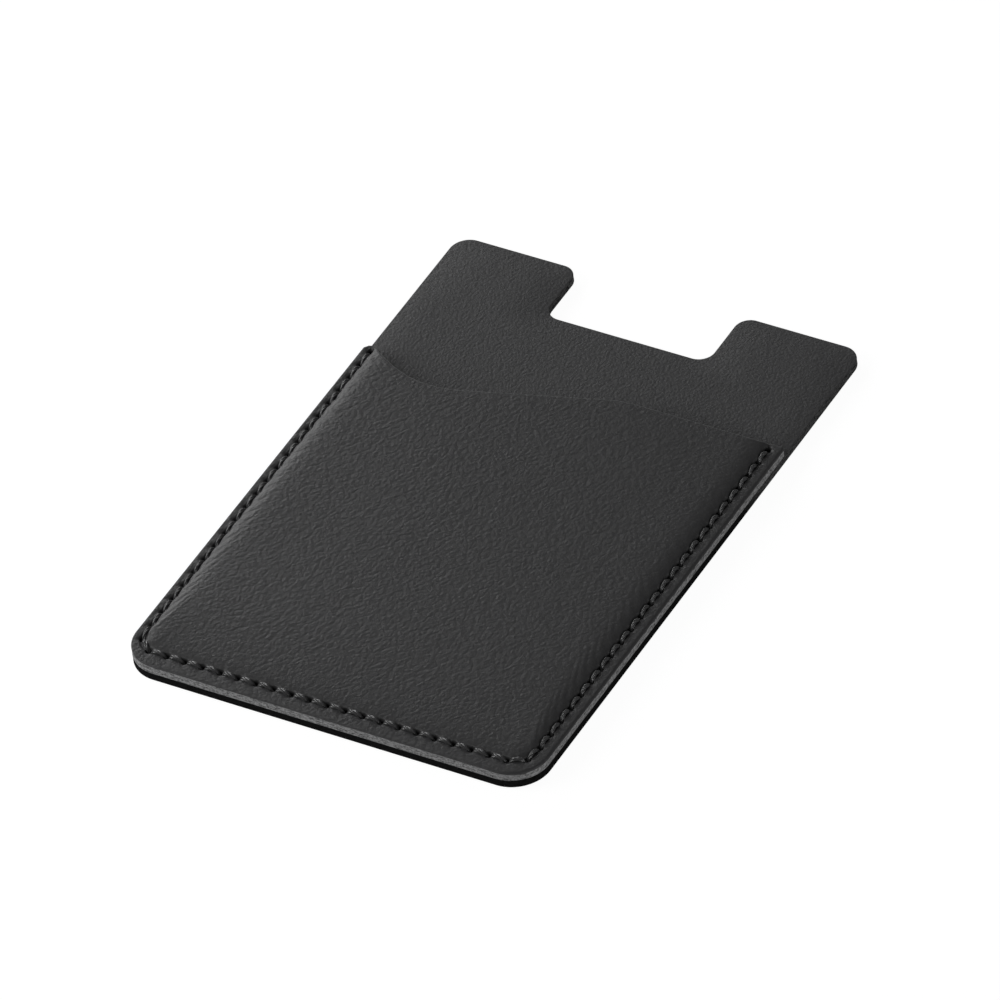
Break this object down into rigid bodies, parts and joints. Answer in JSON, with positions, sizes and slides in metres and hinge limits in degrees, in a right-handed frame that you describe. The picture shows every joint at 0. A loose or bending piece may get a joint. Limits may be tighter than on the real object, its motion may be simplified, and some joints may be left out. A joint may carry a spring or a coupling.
{
  "type": "stick-on phone card holder",
  "caption": "Flat sewn card pocket with a wavy lip on a notched base sheet, with an adhesive pad for the back of a phone.",
  "frame": {"origin": "middle of the resting face, under the release liner", "axes": "+X to the right seen from the front, +Y to the open end of the pocket, +Z out of the front"},
  "size_m": [0.062, 0.092, 0.004],
  "materials": {
    "base_leather": "matt black synthetic leather with a fine grain",
    "pocket_leather": "satin black synthetic leather with a fine grain, grey fibrous cut edge",
    "needle_thread": "black twisted polyester thread, slight sheen",
    "bobbin_thread": "black twisted polyester thread",
    "adhesive": "translucent grey foam adhesive",
    "liner": "smooth off-white release liner"
  },
  "bodies": {
    "root": {"base_panel": "base_leather", "pocket_panel": "pocket_leather", "needle_thread": "needle_thread", "bobbin_thread": "bobbin_thread", "adhesive_pad": "adhesive", "release_liner": "liner"}
  },
  "joints": []
}
